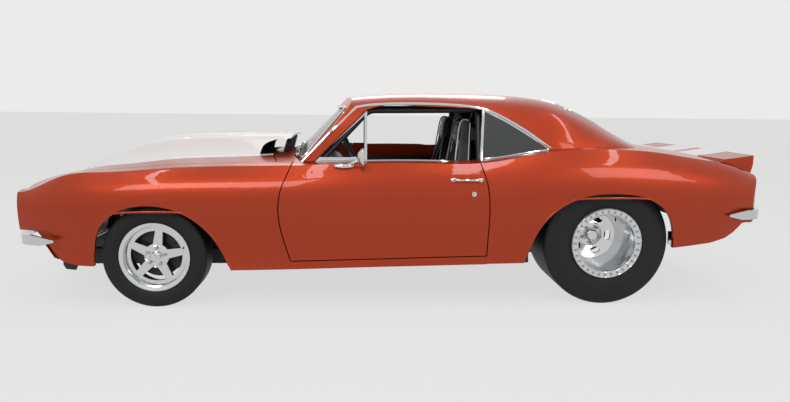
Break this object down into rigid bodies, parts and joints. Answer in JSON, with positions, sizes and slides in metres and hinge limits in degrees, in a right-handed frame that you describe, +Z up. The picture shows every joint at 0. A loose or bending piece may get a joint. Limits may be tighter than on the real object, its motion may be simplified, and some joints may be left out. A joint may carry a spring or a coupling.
{
  "type": "two-door drag-strip muscle car",
  "caption": "Two-door hardtop muscle car on drag wheels, with tall cowl scoop, roll cage, hinged doors, hood and trunk lid, steered front wheels.",
  "frame": {"origin": "on the ground, midway between nose and tail on the centre plane", "axes": "+X towards the tail, +Y to the car's right, +Z up"},
  "size_m": [4.691, 1.8826, 1.3052],
  "materials": {
    "paint": "burnt orange metallic, clear coat",
    "chrome": "bright chrome",
    "black_trim": "satin black",
    "glass_clear": "light green tint",
    "glass_dark": "dark tint",
    "lamp_glass": "clear lens over reflector",
    "lamp_red": "red lens",
    "polished": "polished aluminium",
    "rubber": "black tyre rubber",
    "steel": "black chassis paint",
    "cast": "cast iron",
    "seat": "black with pale piping"
  },
  "bodies": {
    "body": {"cowl": "black_trim", "dashboard": "black_trim", "drivetrain": "cast", "fender_left": "paint", "fender_right": "paint", "floor": "steel", "front_bumper": "chrome", "front_valance": "paint", "grille": "black_trim", "headlamps": "lamp_glass", "nose_panel": "paint", "quarter_left": "paint", "quarter_right": "paint", "quarter_windows": "glass_dark", "rear_bumper": "chrome", "rear_deck": "paint", "rear_window": "glass_clear", "rockers": "paint", "roll_cage": "black_trim", "roof": "paint", "seats": "seat", "subframe": "steel", "tail_lamps": "lamp_red", "tail_panel": "paint", "windscreen": "glass_clear", "windscreen_frame": "paint"},
    "hood": {"hood": "paint"},
    "trunk_lid": {"trunk_lid": "paint", "spoiler": "paint"},
    "door_left": {"door_left": "paint", "vent_frame_left": "chrome", "mirror_left": "chrome"},
    "door_right": {"door_right": "paint", "vent_frame_right": "chrome"},
    "steering_wheel": {"steering_wheel": "black_trim"},
    "knuckle_left": {"knuckle_left": "cast"},
    "knuckle_right": {"knuckle_right": "cast"},
    "front_wheel_left": {"front_wheel_left": "polished", "front_tyre_left": "rubber"},
    "front_wheel_right": {"front_wheel_right": "polished", "front_tyre_right": "rubber"},
    "rear_wheel_left": {"rear_wheel_left": "polished", "rear_tyre_left": "rubber"},
    "rear_wheel_right": {"rear_wheel_right": "polished", "rear_tyre_right": "rubber"}
  },
  "joints": [
    {"name": "hood_hinge", "type": "hinge", "parent": "body", "child": "hood", "pos_m": [-0.6, 0, 0.96], "axis": [0, 1, 0], "range_deg": [0, 50]},
    {"name": "trunk_hinge", "type": "hinge", "parent": "body", "child": "trunk_lid", "pos_m": [1.7455, 0, 0.966], "axis": [0, -1, 0], "range_deg": [0, 70]},
    {"name": "door_left_hinge", "type": "hinge", "parent": "body", "child": "door_left", "pos_m": [-0.6235, -0.902, 0.55], "axis": [0, 0, -1], "range_deg": [0, 65]},
    {"name": "door_right_hinge", "type": "hinge", "parent": "body", "child": "door_right", "pos_m": [-0.6235, 0.902, 0.55], "axis": [0, 0, 1], "range_deg": [0, 65]},
    {"name": "steering", "type": "hinge", "parent": "body", "child": "steering_wheel", "pos_m": [-0.2355, -0.365, 0.85], "axis": [0.9272, 0, 0.3746], "range_deg": [-420, 420]},
    {"name": "steer_left", "type": "hinge", "parent": "body", "child": "knuckle_left", "pos_m": [-1.4135, -0.692, 0.308], "axis": [0, 0, 1], "range_deg": [-30, 30]},
    {"name": "steer_right", "type": "hinge", "parent": "body", "child": "knuckle_right", "pos_m": [-1.4135, 0.692, 0.308], "axis": [0, 0, 1], "range_deg": [-30, 30]},
    {"name": "front_left_spin", "type": "hinge", "parent": "knuckle_left", "child": "front_wheel_left", "pos_m": [-1.4135, -0.78, 0.308], "axis": [0, 1, 0], "continuous": true},
    {"name": "front_right_spin", "type": "hinge", "parent": "knuckle_right", "child": "front_wheel_right", "pos_m": [-1.4135, 0.78, 0.308], "axis": [0, 1, 0], "continuous": true},
    {"name": "rear_left_spin", "type": "hinge", "parent": "body", "child": "rear_wheel_left", "pos_m": [1.3295, -0.65, 0.391], "axis": [0, 1, 0], "continuous": true},
    {"name": "rear_right_spin", "type": "hinge", "parent": "body", "child": "rear_wheel_right", "pos_m": [1.3295, 0.65, 0.391], "axis": [0, 1, 0], "continuous": true}
  ],
  "couplings": [
    {"joint": "steer_left", "follows": "steering", "ratio": 0.071429},
    {"joint": "steer_right", "follows": "steering", "ratio": 0.071429}
  ]
}
